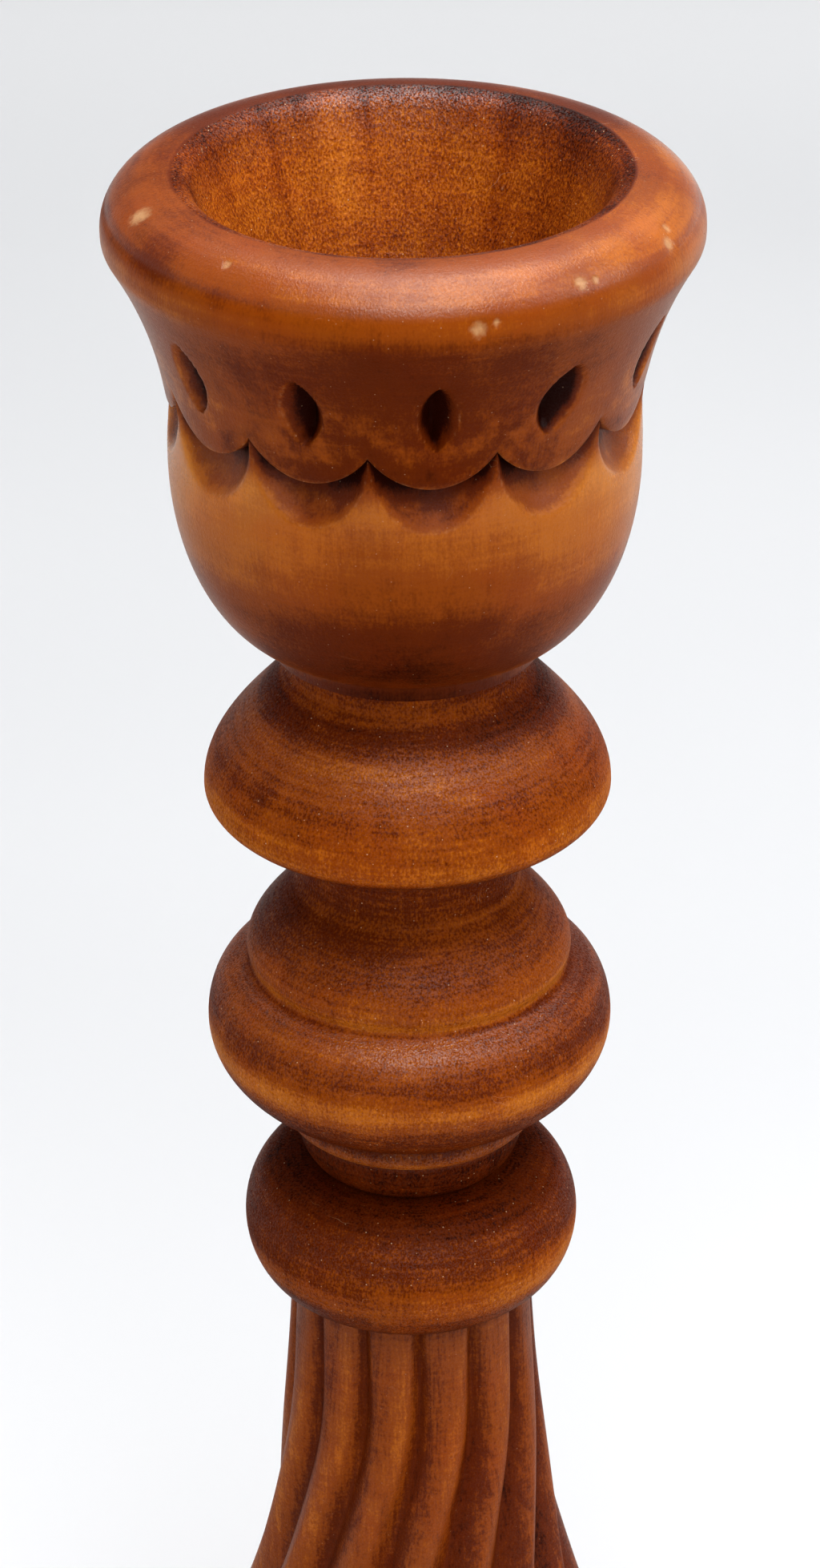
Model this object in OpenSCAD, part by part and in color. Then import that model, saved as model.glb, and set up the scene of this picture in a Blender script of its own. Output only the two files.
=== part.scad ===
// Turned and carved wooden candlestick.
// Sizes are in millimetres. The origin is the centre of the underside, +Z points up the turning axis.
// Depths are measured down from the crest of the cup's lip.

/* [Candle cup] */
// Height of the cup, from its seam with the stem to the crest of the lip
cup_h = 44; // [43.6:0.1:46]
// Radius of the lip at its widest
lip_r = 25.4; // [25:0.1:26.5]
// Radius of the lip's crest
crest_r = 19.6; // [19.4:0.1:20.2]
// Depth of the lip's widest line
lip_drop = 4.6; // [4:0.1:5]
// Radius of the roll under the lip
lip_roll_r = 1.8; // [1.4:0.1:2.2]
// Radius of the cup at its waist, under the carved band
waist_r = 20.4; // [20:0.1:20.8]
// Depth of the waist
waist_depth = 19.7; // [19:0.1:20.5]
// Depth at which the bulb starts to close
bulb_depth = 25.7; // [24.5:0.1:26.5]
// Radius of the short fillet at the cup's seam
seam_r = 12; // [11.6:0.1:12.4]
// Height of that fillet
seam_h = 1.5; // [1.2:0.1:2]

/* [Candle socket] */
// Diameter of the socket for the candle
socket_d = 22.5; // [21.5:0.1:23]
// Length of the socket's straight wall
socket_h = 12; // [10:0.5:12.5]
// Depth of the funnel that leads into the socket
funnel_depth = 19; // [18:0.5:19.5]
// Radius of the roll from the crest into the funnel
crest_roll_r = 2.2; // [1.8:0.1:2.6]

/* [Carved border] */
// Number of petals round the cup
petals = 12; // [10:1:13]
// Turn of the first petal from +X towards +Y
petal_turn = -83.5; // [-100:0.5:-70]
// Radius of the petal's round lower edge
petal_r = 6.2; // [5.6:0.1:6.6]
// Depth of the centre of that edge's circle
petal_depth = 13.8; // [13:0.1:14.4]
// Depth of the crescent cuts' centres
crescent_depth = 18.4; // [18:0.1:19]
// Radius of the crescent cuts
crescent_r = 7.4; // [7:0.1:7.8]
// How deep a crescent cuts into the waist
crescent_cut = 2.6; // [2:0.1:3]
// Length of a leaf-shaped gouge
leaf_l = 6.6; // [5:0.1:7]
// Width of a leaf-shaped gouge
leaf_w = 4.2; // [3:0.1:4.6]
// Depth of the leaf gouges' centres
leaf_depth = 13; // [12.5:0.1:13.5]

/* [Stem] */
// Height of the stem, from the column to the cup
stem_h = 67; // [67:0.5:70]
// Radius of the upper neck
neck_1_r = 10.6; // [10:0.1:11]
// Crest radius of the upper knop
knop_1_r = 18.2; // [17:0.1:19]
// Radius of the middle neck
neck_2_r = 9.8; // [9.4:0.1:10.4]
// Crest radius of the shoulder above the middle knop
shoulder_r = 14.8; // [14.2:0.1:15.4]
// Crest radius of the middle knop
knop_2_r = 18.5; // [17.5:0.1:19]
// Radius of the fillet under the middle knop
fillet_3_r = 12; // [11.6:0.1:12.4]
// Radius of the lower neck at its foot
neck_3_r = 8.6; // [8.4:0.1:9.4]
// Crest radius of the lower knop
knop_3_r = 15.6; // [15:0.1:16.5]

/* [Fluted column] */
// Height of the column
column_h = 70; // [66:0.5:72]
// Radius of the column's top
column_r = 11.3; // [10.8:0.1:11.8]
// Rise of the column's flare
flare_k = 1.07; // [0.9:0.01:1.1]
// Length over which the flare grows by a factor of e
flare_l = 21.6; // [21.4:0.1:24]
// Number of flutes
flutes = 13; // [10:1:15]
// Turn of the first groove from +X towards +Y
flute_turn = -86.5; // [-100:0.5:-70]
// Twist of the flutes below their straight start, in degrees a millimetre
twist_rate = 1.2; // [0.8:0.1:2]
// Depth of a groove at the top of the column
groove_top = 0.7; // [0.4:0.1:0.9]
// Depth of a groove further down
groove_foot = 1.9; // [1:0.1:2.4]

/* [Foot] */
// Height of the foot
foot_h = 17; // [16:0.5:20]
// Radius of the foot
foot_r = 44; // [43:0.5:48]
// Thickness of the felt
felt_t = 2; // [1:0.5:3]
// Radius of the felt
felt_r = 40.5; // [38:0.5:42]

/* [Joints] */
// Diameter of the dowels
dowel_d = 10; // [8:0.5:10]
// Diameter of the tenon under the column
tenon_d = 24; // [20:1:26]
// Length of that tenon
tenon_l = 8; // [6:0.5:8.5]
// Radial room for glue round the dowels and the tenon
glue_gap = 0.1; // [0.05:0.05:0.2]
// Outer diameter of the wood screw's thread
screw_d = 4.5; // [4:0.1:5]

/* [Hidden] */
$fn = 96;

// Heights of the seams, from the underside up
foot_z = felt_t;
column_z = foot_z + foot_h;
stem_z = column_z + column_h;
cup_z = stem_z + stem_h;
rim_z = cup_z + cup_h;

// Slack that carries a cut past the face it opens
over = 0.5;

// Finishes
cup_tint = [0.66, 0.36, 0.16];
stem_tint = [0.52, 0.25, 0.11];
column_tint = [0.56, 0.28, 0.12];
dowel_tint = [0.82, 0.66, 0.44];

// Angle at which the lip's roll meets the flare, from the horizontal
roll_turn = 31;
// Half-length of the bulb's closing curve, and its reach towards the axis
bulb_len = 16.9;
bulb_reach = 9.5;
// Depth of the socket's floor
socket_floor = funnel_depth + socket_h;
// Depths of the two dowel holes, and the room left past the dowel's end
cup_hole = 9;
stem_hole = 14;
hole_end = 1;

// Depths of the stem's features below the lip, at the sizes above
neck_1_end = 46.2;
knop_1_crest = 58;
knop_1_foot = 61.6;
neck_2_end = 68;
shoulder_crest = 75.2;
groove_line = 76.8;
groove_roll = 0.8;
cove_r = shoulder_r - 0.3;
knop_2_crest = 82.5;
knop_2_foot = 90;
fillet_3_end = 93.2;
neck_3_end = 97.6;
knop_3_crest = 104.5;
knop_3_foot = 110.6;
fillet_3_roll = (fillet_3_end - knop_2_foot) / 2;
neck_3_swell = 2;
stem_depth = 44;

// Points of an arc about (cx, cz) from angle a0 to angle a1
function arc(cx, cz, r, a0, a1, n = 8) =
    [for (i = [0:n]) let(a = a0 + (a1 - a0) * i / n) [cx + r * cos(a), cz + r * sin(a)]];

// Points of an elliptical arc about (cx, cz)
function ellipse_arc(cx, cz, rx, rz, a0, a1, n = 12) =
    [for (i = [0:n]) let(a = a0 + (a1 - a0) * i / n) [cx + rx * cos(a), cz + rz * sin(a)]];

// One side of a knop: from its core radius at z_core to its crest at z_crest.
// A fullness below 1 gives a round side, above 1 a side that hollows towards the core.
function knop_side(core, crest, z_core, z_crest, fullness, n = 9) =
    [for (i = [0:n])
        let(t = sin(90 - 90 * i / n))
        [core + (crest - core) * pow(cos(90 * t), fullness), z_crest + (z_core - z_crest) * t]];

// The same points from the other end
function backwards(p) = [for (i = [len(p) - 1:-1:0]) p[i]];

// ---- Candle cup ----

// Outer side of the cup, upwards from the seam. z is 0 at the crest of the lip.
function cup_side() =
    let(
        roll_z = -lip_drop - 0.5,
        flare_r0 = lip_r - lip_roll_r * (1 - cos(roll_turn)),
        flare_z0 = roll_z - lip_roll_r * sin(roll_turn),
        rise = flare_z0 + waist_depth,
        end_turn = 2 * atan((flare_r0 - waist_r) / rise) - roll_turn,
        flare_rho = rise / (sin(roll_turn) - sin(end_turn)),
        flare_cx = flare_r0 + flare_rho * cos(roll_turn),
        flare_cz = flare_z0 - flare_rho * sin(roll_turn)
    )
    concat(
        [[seam_r, -cup_h], [seam_r, seam_h - cup_h]],
        backwards(ellipse_arc(waist_r - bulb_reach, -bulb_depth, bulb_reach, bulb_len, 0, -83, 14)),
        arc(flare_cx, flare_cz, flare_rho, 180 - end_turn, 180 - roll_turn, 10),
        arc(lip_r - lip_roll_r, roll_z, lip_roll_r, -roll_turn, 0, 4),
        ellipse_arc(crest_r, -lip_drop, lip_r - crest_r, lip_drop, 0, 90, 10)
    );

// Inner side of the cup, downwards from the crest to the socket's floor
function cup_hollow() =
    let(
        wall = atan((crest_r - crest_roll_r - socket_d / 2) / (funnel_depth - crest_roll_r)),
        roll = arc(crest_r, -crest_roll_r, crest_roll_r, 90, 180 - wall, 6)
    )
    concat(roll, [[socket_d / 2, -funnel_depth], [socket_d / 2, -socket_floor], [0, -socket_floor]]);

// Turned blank of the cup
module cup_blank() {
    rotate_extrude()
        polygon(concat([[0, -cup_h]], cup_side(), cup_hollow()));
}

// A cut below one petal: a round scoop that stops at the petal's edge
module crescent() {
    difference() {
        translate([waist_r + crescent_r - crescent_cut, 0, -crescent_depth])
            sphere(r = crescent_r);
        translate([0, 0, -petal_depth])
            rotate([0, 90, 0])
                cylinder(h = 2 * lip_r, r = petal_r);
    }
}

// A leaf-shaped gouge in one petal: two crossed knife cuts that meet in a valley
module leaf() {
    side = leaf_w / 2;
    reach = leaf_l / 2;
    ball_r = (reach * reach / side + side) / 2;
    translate([waist_r + leaf_w / 2, 0, -leaf_depth])
        intersection() {
            translate([0, side - ball_r, 0])
                sphere(r = ball_r);
            translate([0, ball_r - side, 0])
                sphere(r = ball_r);
        }
}

module candle_cup() {
    color(cup_tint)
        translate([0, 0, rim_z])
            difference() {
                cup_blank();
                for (i = [0:petals - 1])
                    rotate([0, 0, petal_turn + i * 360 / petals]) {
                        crescent();
                        leaf();
                    }
                translate([0, 0, -cup_h - over])
                    cylinder(h = cup_hole + over, d = dowel_d + 2 * glue_gap);
            }
}

// ---- Dowels ----

// Dowel with chamfered ends, standing on z = 0
module dowel(length) {
    chamfer = 0.8;
    color(dowel_tint)
        rotate_extrude()
            polygon([[0, 0], [dowel_d / 2 - chamfer, 0], [dowel_d / 2, chamfer],
                     [dowel_d / 2, length - chamfer], [dowel_d / 2 - chamfer, length], [0, length]]);
}

module cup_dowel() {
    translate([0, 0, cup_z - stem_hole + hole_end])
        dowel(cup_hole + stem_hole - 2 * hole_end);
}

module stem_dowel() {
    translate([0, 0, stem_z - stem_hole + hole_end])
        dowel(2 * stem_hole - 2 * hole_end);
}

// ---- Stem ----

// Outer side of the stem, downwards from the cup. z is 0 at the crest of the lip.
function stem_side() =
    concat(
        [[neck_1_r, -stem_depth]],
        knop_side(neck_1_r, knop_1_r, -neck_1_end, -knop_1_crest, 1.2),
        backwards(knop_side(neck_2_r, knop_1_r, -knop_1_foot, -knop_1_crest, 0.45)),
        [[neck_2_r, -neck_2_end]],
        knop_side(neck_2_r + 0.4, shoulder_r, -neck_2_end, -shoulder_crest, 1.4),
        arc(cove_r + groove_roll, groove_roll - groove_line, groove_roll, 180, 258, 5),
        backwards(ellipse_arc(cove_r, -knop_2_crest, knop_2_r - cove_r, knop_2_crest - groove_line, 0, 80, 8)),
        backwards(knop_side(fillet_3_r - 0.8, knop_2_r, -knop_2_foot, -knop_2_crest, 0.5)),
        arc(fillet_3_r - fillet_3_roll, fillet_3_roll - fillet_3_end, fillet_3_roll, 60, -90, 6),
        ellipse_arc(neck_3_r, -fillet_3_end, neck_3_swell, neck_3_end - fillet_3_end, 0, -90, 7),
        knop_side(neck_3_r, knop_3_r, -neck_3_end, -knop_3_crest, 0.34),
        backwards(knop_side(column_r, knop_3_r, -knop_3_foot, -knop_3_crest, 0.43)),
        [[column_r, -stem_depth - stem_h]]
    );

module knop_stem() {
    color(stem_tint)
        translate([0, 0, cup_z + stem_depth])
            difference() {
                rotate_extrude()
                    polygon(concat([[0, -stem_depth]], stem_side(), [[0, -stem_depth - stem_h]]));
                translate([0, 0, -stem_depth - stem_hole])
                    cylinder(h = stem_hole + over, d = dowel_d + 2 * glue_gap);
                translate([0, 0, -stem_depth - stem_h - over])
                    cylinder(h = stem_hole + over, d = dowel_d + 2 * glue_gap);
            }
}

// ---- Fluted column ----

// Depths below the column's top between which the twist sets in
twist_in = [8, 19];
// Half-width of a groove at the top and further down, as a fraction of its pitch
groove_w = [0.1, 0.34];
// Depth below the column's top at which the grooves are fully grown
groove_grown = 32;
// Height of the plain rim at the column's foot
plain_rim = 3;
// Places across one flute, as fractions of its pitch: a narrow groove at 0 between broad ridges
flute_marks = [0, 0.11, 0.28, 0.5, 0.72, 0.89];
marks = len(flute_marks);
column_rings = 30;
around = flutes * marks;

// Radius of the ridges at a depth s below the column's top
function ridge_r(s) = column_r + flare_k * (exp(s / flare_l) - 1);

// Turn of the flutes at a depth s
function flute_twist(s) =
    s < twist_in[0] ? 0 :
    s < twist_in[1] ? twist_rate * pow(s - twist_in[0], 2) / (2 * (twist_in[1] - twist_in[0])) :
    twist_rate * (s - (twist_in[0] + twist_in[1]) / 2);

// How far the surface lies inside the ridges, at a fraction u of the pitch and a depth s
function flute_cut(u, s) =
    let(
        grown = min(1, s / groove_grown),
        w = groove_w[0] + (groove_w[1] - groove_w[0]) * grown,
        off = min(u, 1 - u),
        fade = min(1, max(0, (column_h - s - plain_rim) / plain_rim)),
        depth = (groove_top + (groove_foot - groove_top) * grown) * fade
    )
    depth * (exp(-pow(off / w, 2)) + 0.18 * pow(1 - 2 * off, 2));

// Point i of ring j of the column's surface, with z = 0 at the column's foot
function column_point(i, j) =
    let(
        s = column_h * j / column_rings,
        u = flute_marks[i % marks],
        a = flute_turn + (floor(i / marks) + u) * 360 / flutes - flute_twist(s),
        r = ridge_r(s) - flute_cut(u, s)
    )
    [r * cos(a), r * sin(a), column_h - s];

module fluted_shell() {
    points = [for (j = [0:column_rings]) for (i = [0:around - 1]) column_point(i, j)];
    sides = [for (j = [0:column_rings - 1]) for (i = [0:around - 1])
        let(n = (i + 1) % around, a = j * around, b = (j + 1) * around)
        each [[a + i, a + n, b + n], [a + i, b + n, b + i]]];
    top = [for (i = [around - 1:-1:0]) i];
    foot = [for (i = [0:around - 1]) column_rings * around + i];
    polyhedron(points = points, faces = concat([top], sides, [foot]));
}

module fluted_column() {
    color(column_tint)
        translate([0, 0, column_z])
            difference() {
                union() {
                    fluted_shell();
                    translate([0, 0, -tenon_l])
                        cylinder(h = tenon_l + over, d = tenon_d);
                }
                translate([0, 0, column_h - stem_hole])
                    cylinder(h = stem_hole + over, d = dowel_d + 2 * glue_gap);
                translate([0, 0, -tenon_l - over])
                    cylinder(h = screw_grip + over, d = screw_d + 2 * glue_gap);
            }
}

// ---- Foot ----

// Sizes of the screw, its washer and its recess
screw_grip = 24;
head_d = 9;
head_h = 2.6;
washer_d = 14;
washer_t = 1.2;
recess_d = 17;
recess_h = 4.4;
socket_end = 0.3;

// Outer side of the foot, upwards from its underside
function foot_side() =
    concat(
        arc(foot_r - 0.8, 0.8, 0.8, -90, 0, 4),
        arc(foot_r - 0.8, 3.7, 0.8, 0, 90, 4),
        [[foot_r - 1.6, 4.5], [foot_r - 1.6, 5.3]],
        knop_side(foot_r - 4.6, foot_r - 0.6, 5.3, 8.6, 0.4, 6),
        backwards(knop_side(foot_r - 5.2, foot_r - 0.6, foot_h - 3.2, 8.6, 0.7, 8)),
        [[foot_r - 5.2, foot_h - 0.8]],
        arc(foot_r - 6, foot_h - 0.8, 0.8, 0, 90, 4)
    );

module turned_foot() {
    color(stem_tint)
        translate([0, 0, foot_z])
            difference() {
                rotate_extrude()
                    polygon(concat([[0, 0]], foot_side(), [[0, foot_h]]));
                translate([0, 0, foot_h - tenon_l - socket_end])
                    cylinder(h = tenon_l + socket_end + over, d = tenon_d + 2 * glue_gap);
                translate([0, 0, -over])
                    cylinder(h = foot_h, d = screw_d + 0.6);
                translate([0, 0, -over])
                    cylinder(h = recess_h + over, d = recess_d);
            }
}

// Wood screw with a slotted pan head, its thread drawn as rings
module foot_screw() {
    pitch = 2;
    tip = 5;
    length = 22;
    core = screw_d / 2 - 0.8;
    rings = floor((length - tip - 4) / pitch);
    color([0.75, 0.74, 0.72])
        translate([0, 0, foot_z + recess_h - washer_t])
            difference() {
                union() {
                    rotate_extrude()
                        polygon(concat(
                            [[0, length], [core, length - tip]],
                            [for (i = [0:rings - 1]) let(z = length - tip - i * pitch)
                                each [[core, z - 0.5], [screw_d / 2, z - 0.9], [core, z - 1.3]]],
                            [[core, 4], [screw_d / 2, 3.6], [screw_d / 2, 0], [0, 0]]));
                    rotate_extrude()
                        polygon(concat([[0, 0], [head_d / 2, 0]],
                                       backwards(ellipse_arc(0, -0.6, head_d / 2, head_h - 0.6, -90, 0, 8))));
                }
                translate([-head_d, -0.6, -head_h - over])
                    cube([2 * head_d, 1.2, 1.2 + over]);
            }
}

module screw_washer() {
    color([0.78, 0.77, 0.75])
        translate([0, 0, foot_z + recess_h - washer_t])
            difference() {
                cylinder(h = washer_t, d = washer_d);
                translate([0, 0, -over])
                    cylinder(h = washer_t + 2 * over, d = screw_d + 0.5);
            }
}

module felt_pad() {
    color([0.16, 0.3, 0.2])
        difference() {
            cylinder(h = felt_t, r = felt_r);
            translate([0, 0, -over])
                cylinder(h = felt_t + 2 * over, d = recess_d + 4);
        }
}

candle_cup();
cup_dowel();
knop_stem();
stem_dowel();
fluted_column();
turned_foot();
foot_screw();
screw_washer();
felt_pad();
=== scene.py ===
"""Looks of the turned and carved candlestick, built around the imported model.

The shape functions work in millimetres. A profile is a list of (radius, height) points, and heights are
measured from the crest of the cup's lip, so they are negative, as in the CAD model. A depth is the same
distance as a positive number.
"""
import math

import bpy
import numpy as np
from mathutils import Matrix, Vector


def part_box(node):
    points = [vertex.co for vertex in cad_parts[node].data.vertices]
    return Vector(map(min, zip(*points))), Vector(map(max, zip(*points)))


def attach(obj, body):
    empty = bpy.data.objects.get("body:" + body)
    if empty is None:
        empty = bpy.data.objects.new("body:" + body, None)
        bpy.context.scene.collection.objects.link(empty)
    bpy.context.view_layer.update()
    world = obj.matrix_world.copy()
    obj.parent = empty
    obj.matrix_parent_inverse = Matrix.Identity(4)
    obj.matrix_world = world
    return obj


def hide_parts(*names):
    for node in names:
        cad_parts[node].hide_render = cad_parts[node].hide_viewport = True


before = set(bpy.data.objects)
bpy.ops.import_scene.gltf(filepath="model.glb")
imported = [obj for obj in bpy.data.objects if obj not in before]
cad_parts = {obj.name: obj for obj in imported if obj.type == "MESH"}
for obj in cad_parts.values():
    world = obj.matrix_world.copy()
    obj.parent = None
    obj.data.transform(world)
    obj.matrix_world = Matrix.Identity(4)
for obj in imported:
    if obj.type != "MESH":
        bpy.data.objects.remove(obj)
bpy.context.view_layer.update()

MM = 0.001
BARE_TONE = 0.25
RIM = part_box("candle_cup")[1].z
CUP_FOOT = (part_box("candle_cup")[0].z - RIM) / MM
STEM_FOOT = (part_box("knop_stem")[0].z - RIM) / MM
FOOT_TOP = (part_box("turned_foot")[1].z - RIM) / MM
TENON_FOOT = (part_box("fluted_column")[0].z - RIM) / MM
FELT_TOP = (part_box("felt_pad")[1].z - RIM) / MM
FLOOR = (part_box("felt_pad")[0].z - RIM) / MM
LIP_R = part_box("candle_cup")[1].x / MM
FOOT_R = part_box("turned_foot")[1].x / MM
FELT_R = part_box("felt_pad")[1].x / MM
BORE_R = 5.1
TURNED_COLUMNS, FELT_COLUMNS = 288, 240


# ---- Camera ----

CAMERA_REACH = 0.3557
CAMERA_RISE = 0.1425
CAMERA_PITCH = 29.52
CAMERA_ROLL = -0.462
CAMERA_LENS = 104.8
CAMERA_SHIFT = 0.0015


def make_camera():
    """A long lens that looks down on the cup from the front."""
    data = bpy.data.cameras.new("camera")
    data.lens = CAMERA_LENS
    data.sensor_width = 36
    data.shift_x = CAMERA_SHIFT
    data.clip_start = 0.01
    camera = bpy.data.objects.new("camera", data)
    bpy.context.scene.collection.objects.link(camera)
    camera.location = (0, -CAMERA_REACH, RIM + CAMERA_RISE)
    camera.rotation_mode = "XYZ"
    tilt = math.radians(90 - CAMERA_PITCH)
    roll = math.radians(CAMERA_ROLL)
    turn = Matrix.Rotation(tilt, 4, "X") @ Matrix.Rotation(roll, 4, "Z")
    camera.rotation_euler = turn.to_euler()
    bpy.context.scene.camera = camera


# ---- Profiles ----

def arc(centre_r, centre_z, radius_r, radius_z, start, end, steps=24):
    """Points of an elliptical arc, from one angle to another in degrees."""
    turns = np.radians(np.linspace(start, end, steps + 1))
    return [(centre_r + radius_r * math.cos(t), centre_z + radius_z * math.sin(t)) for t in turns]


def knop_side(core, crest, z_core, z_crest, fullness, steps=40):
    """One side of a knop, from its core radius to its crest. A low fullness is round, a high one hollow."""
    points = []
    for turn in np.linspace(math.pi / 2, 0, steps + 1):
        t = math.sin(turn)
        swell = max(0.0, math.cos(math.pi / 2 * t)) ** fullness
        points.append((core + (crest - core) * swell, z_crest + (z_core - z_crest) * t))
    return points


def soften(points, radius=0.14, step=0.05, slack=0.004, longest=0.7):
    """Rounds a profile's corners a little, and keeps only the points that its shape needs."""
    p = np.array(points, float)
    along = np.concatenate([[0], np.cumsum(np.hypot(*np.diff(p, axis=0).T))])
    marks = np.arange(0, along[-1], step)
    fine = np.stack([np.interp(marks, along, p[:, 0]), np.interp(marks, along, p[:, 1])], 1)
    reach = int(4 * radius / step)
    weights = np.exp(-0.5 * (np.arange(-reach, reach + 1) * step / radius) ** 2)
    weights /= weights.sum()
    ends = 2 * fine[0] - fine[reach:0:-1], 2 * fine[-1] - fine[-2:-reach - 2:-1]
    long = np.concatenate([ends[0], fine, ends[1]])
    smooth = np.stack([np.convolve(long[:, k], weights, "valid") for k in (0, 1)], 1)
    kept, first = [0], 0
    for last in range(2, len(smooth)):
        chord = smooth[last] - smooth[first]
        length = np.hypot(*chord)
        off = smooth[first + 1:last] - smooth[first]
        gap = np.abs(off[:, 0] * chord[1] - off[:, 1] * chord[0]).max() / max(length, 1e-9)
        if gap > slack or length > longest:
            first = last - 1
            kept.append(first)
    return np.concatenate([smooth[kept], p[-1:]])


def rows_of(points, longest=0.7):
    """The same profile with its long straight stretches divided."""
    p = np.array(points, float)
    out = [p[0]]
    for a, b in zip(p[:-1], p[1:]):
        count = max(1, math.ceil(np.hypot(*(b - a)) / longest))
        out += [a + (b - a) * k / count for k in range(1, count + 1)]
    return np.array(out)


# ---- Meshes of revolution ----

def even_turns(columns):
    """Angles of that many columns round the axis, in radians."""
    return np.arange(columns) * 2 * math.pi / columns


def rings_of(profile, spin):
    """Rings of points at the angles of spin, one for each point of a profile."""
    r, z = np.array(profile, float).T
    return np.stack([r[:, None] * np.cos(spin), r[:, None] * np.sin(spin),
                     np.repeat(z[:, None], len(spin), 1)], 2)


def make_mesh(name, low_pole, rings, high_pole, materials, **marks):
    """A closed solid: rings joined one to the next, with a pole on the axis at either end, or none.

    Each of the marks becomes a vertex attribute, and the two poles take its first and its last value.
    """
    count, columns = rings.shape[:2]
    points = [rings.reshape(-1, 3)]
    i, j = np.meshgrid(np.arange(count - 1), np.arange(columns), indexing="ij")
    a, b = i * columns + j, i * columns + (j + 1) % columns
    faces = np.stack([a, b, b + columns, a + columns], -1).reshape(-1, 4).tolist()
    steps = np.arange(columns)
    after = (steps + 1) % columns
    last = (count - 1) * columns
    if low_pole is None:
        faces += np.stack([last + steps, last + after, after, steps], 1).tolist()
    else:
        points += [[(0, 0, low_pole)], [(0, 0, high_pole)]]
        pole, top = count * columns, count * columns + 1
        faces += [(pole, after[k], steps[k]) for k in range(columns)]
        faces += [(top, last + steps[k], last + after[k]) for k in range(columns)]
    points = np.concatenate(points) * MM + np.array([0, 0, RIM])
    mesh = bpy.data.meshes.new(name)
    mesh.from_pydata(points.tolist(), [], faces)
    for key, values in marks.items():
        full = np.zeros(len(points), np.float32)
        full[:values.size] = values.ravel()
        if low_pole is not None:
            full[-2:] = values.ravel()[0], values.ravel()[-1]
        mesh.attributes.new(key, "FLOAT", "POINT").data.foreach_set("value", full)
    for material in materials:
        mesh.materials.append(material)
    mesh.polygons.foreach_set("use_smooth", np.ones(len(mesh.polygons), bool))
    mesh.set_sharp_from_angle(angle=math.radians(50))
    mesh.validate()
    piece = bpy.data.objects.new(name, mesh)
    bpy.context.scene.collection.objects.link(piece)
    return piece


def by_depth(marks, z):
    """Smooth curves through (depth, value, value...) marks, at the heights z, one for each value."""
    depths, *columns = np.array(marks, float).T
    at = np.interp(-z, depths, np.arange(len(depths)))
    low = np.clip(np.floor(at).astype(int), 0, len(depths) - 2)
    t = at - low
    t = t * t * (3 - 2 * t)
    return [values[low] * (1 - t) + values[low + 1] * t for values in columns]


def sideways(marks, z, right):
    """The painted side light and shade: how much lighter or darker the wood's tone is made towards the left
    and the right, from (depth, left, right) marks.
    """
    left_shift, right_shift = by_depth(marks, z)
    return left_shift * np.clip(-right, 0, 1) + right_shift * np.clip(right, 0, 1)


def finish_piece(piece, node):
    """Makes the piece ride on the root body, in the place of the CAD node."""
    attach(piece, "root")
    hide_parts(node)


# ---- Materials ----

def add(tree, kind, values=None, **settings):
    """A node with its settings, and with a value or a link on each input that is named."""
    made = tree.nodes.new(kind)
    for key, value in settings.items():
        setattr(made, key, value)
    for key, value in (values or {}).items():
        if isinstance(value, bpy.types.NodeSocket):
            tree.links.new(value, made.inputs[key])
        else:
            made.inputs[key].default_value = value
    return made


def maths(tree, operation, a, b=0.0, c=0.0):
    return add(tree, "ShaderNodeMath", {0: a, 1: b, 2: c}, operation=operation).outputs[0]


def noise(tree, vector, scale, detail=2.0, distortion=0.0, stretch=(1, 1, 1)):
    """A noise of that many features a millimetre, stretched along each axis by its factor."""
    mapped = add(tree, "ShaderNodeVectorMath", {0: vector, 1: [1 / s for s in stretch]}, operation="MULTIPLY")
    made = add(tree, "ShaderNodeTexNoise", {"Vector": mapped.outputs[0], "Scale": scale, "Detail": detail,
                                            "Distortion": distortion})
    return made.outputs[0]


def between(tree, value, low, high, to_low=0.0, to_high=1.0):
    """Maps low..high to to_low..to_high, clamped and eased."""
    return add(tree, "ShaderNodeMapRange", {0: value, 1: low, 2: high, 3: to_low, 4: to_high},
               interpolation_type="SMOOTHSTEP").outputs[0]


def blend(tree, factor, a, b, blend_type="MIX"):
    return add(tree, "ShaderNodeMix", {0: factor, 6: a, 7: b}, data_type="RGBA",
               blend_type=blend_type).outputs[2]


def start_material(name):
    """An empty material, its Principled shader, and the place on the object in millimetres."""
    material = bpy.data.materials.new(name)
    material.use_nodes = True
    tree = material.node_tree
    shader = tree.nodes["Principled BSDF"]
    place = add(tree, "ShaderNodeTexCoord").outputs["Object"]
    mm = add(tree, "ShaderNodeVectorMath", {0: place, "Scale": 1 / MM}, operation="SCALE").outputs[0]
    return material, tree, shader, mm


STAIN = (
    (0.00, (0.68, 0.210, 0.016)), (0.22, (0.48, 0.122, 0.0060)), (0.45, (0.28, 0.053, 0.0022)),
    (0.70, (0.120, 0.0160, 0.0007)), (1.00, (0.022, 0.0022, 0.0002)),
)


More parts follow.
